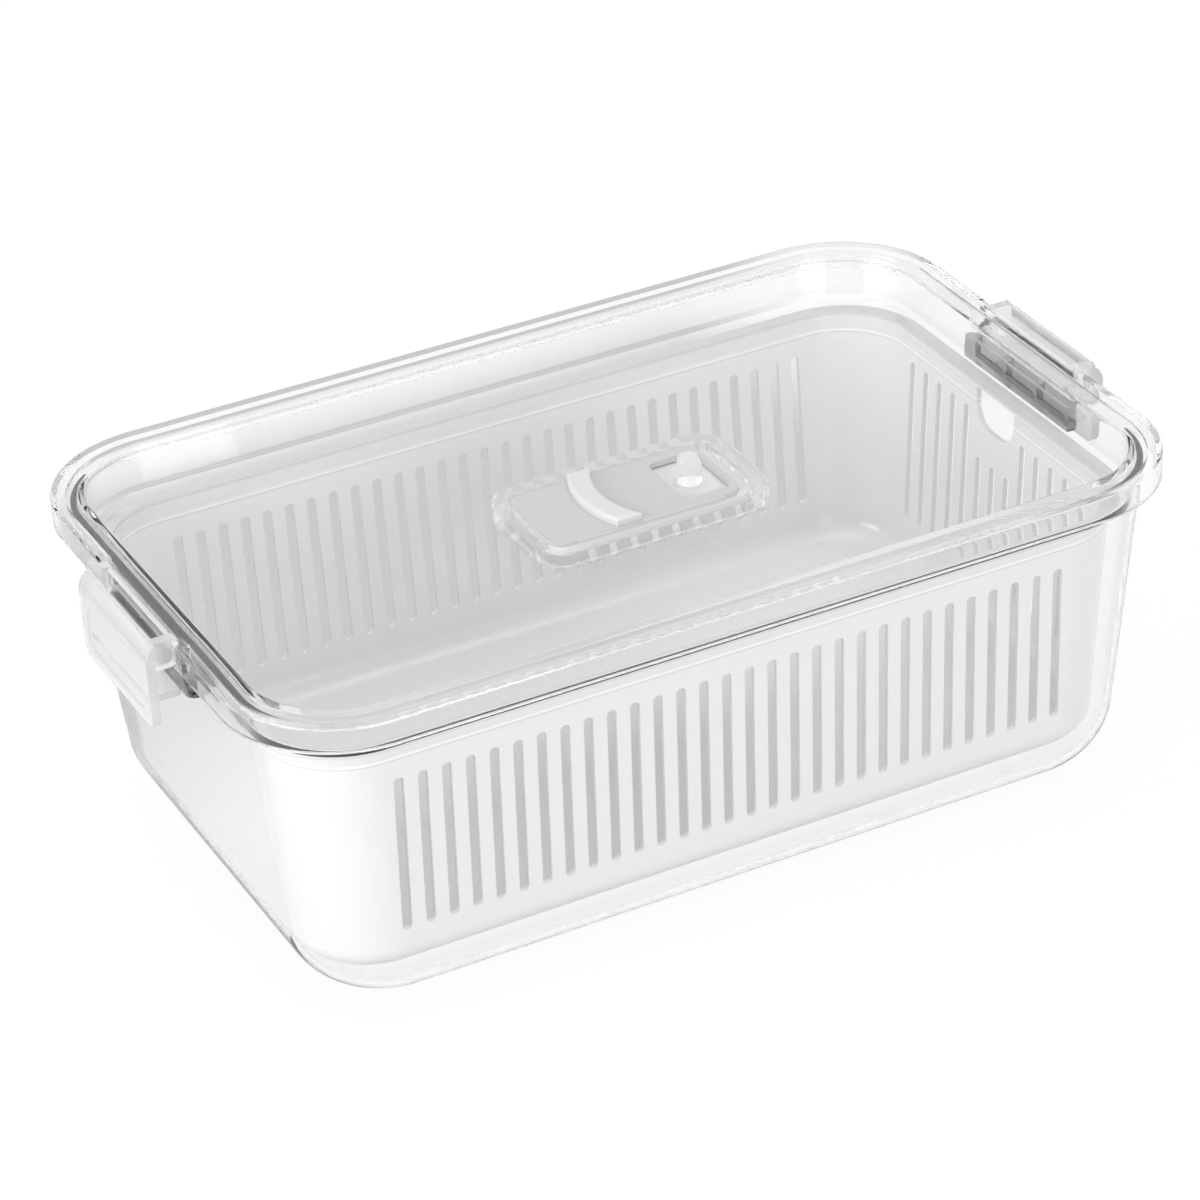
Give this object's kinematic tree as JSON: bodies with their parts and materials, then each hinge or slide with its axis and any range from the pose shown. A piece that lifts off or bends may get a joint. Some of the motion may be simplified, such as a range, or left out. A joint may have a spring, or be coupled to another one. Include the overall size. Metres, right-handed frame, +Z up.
{
  "type": "food storage container",
  "caption": "Clear rectangular keeper with a slotted drain basket, a sealed lid, two hinged end latches and a sliding vent.",
  "frame": {"origin": "the middle of the container's underside", "axes": "X along the length from the left latch to the right latch, Y across the width to the back, Z up"},
  "size_m": [0.3156, 0.1924, 0.1073],
  "materials": {
    "clear_plastic": "clear polished plastic",
    "basket_plastic": "white, soft sheen",
    "latch_plastic": "milky clear plastic",
    "vent_plastic": "pale grey, soft sheen",
    "seal_rubber": "matte soft"
  },
  "bodies": {
    "container": {"container": "clear_plastic"},
    "basket": {"drain_basket": "basket_plastic"},
    "lid": {"lid": "clear_plastic", "lid_seal": "seal_rubber", "vent_housing": "vent_plastic", "vent_seal": "seal_rubber", "vent_post": "vent_plastic"},
    "left_latch": {"latch_left": "latch_plastic"},
    "right_latch": {"latch_right": "latch_plastic"},
    "slider": {"vent_slider": "vent_plastic"}
  },
  "joints": [
    {"name": "basket_lift", "type": "slide", "parent": "container", "child": "basket", "axis": [0, 0, 1], "range_m": [0, 0.11]},
    {"name": "lid_lift", "type": "slide", "parent": "basket", "child": "lid", "axis": [0, 0, 1], "range_m": [0, 0.07]},
    {"name": "left_latch_hinge", "type": "hinge", "parent": "lid", "child": "left_latch", "pos_m": [-0.1488, 0, 0.106], "axis": [0, 1, 0], "range_deg": [0, 95]},
    {"name": "right_latch_hinge", "type": "hinge", "parent": "lid", "child": "right_latch", "pos_m": [0.1488, 0, 0.106], "axis": [0, -1, 0], "range_deg": [0, 95]},
    {"name": "vent_slide", "type": "slide", "parent": "lid", "child": "slider", "axis": [1, 0, 0], "range_m": [0, 0.004]}
  ]
}
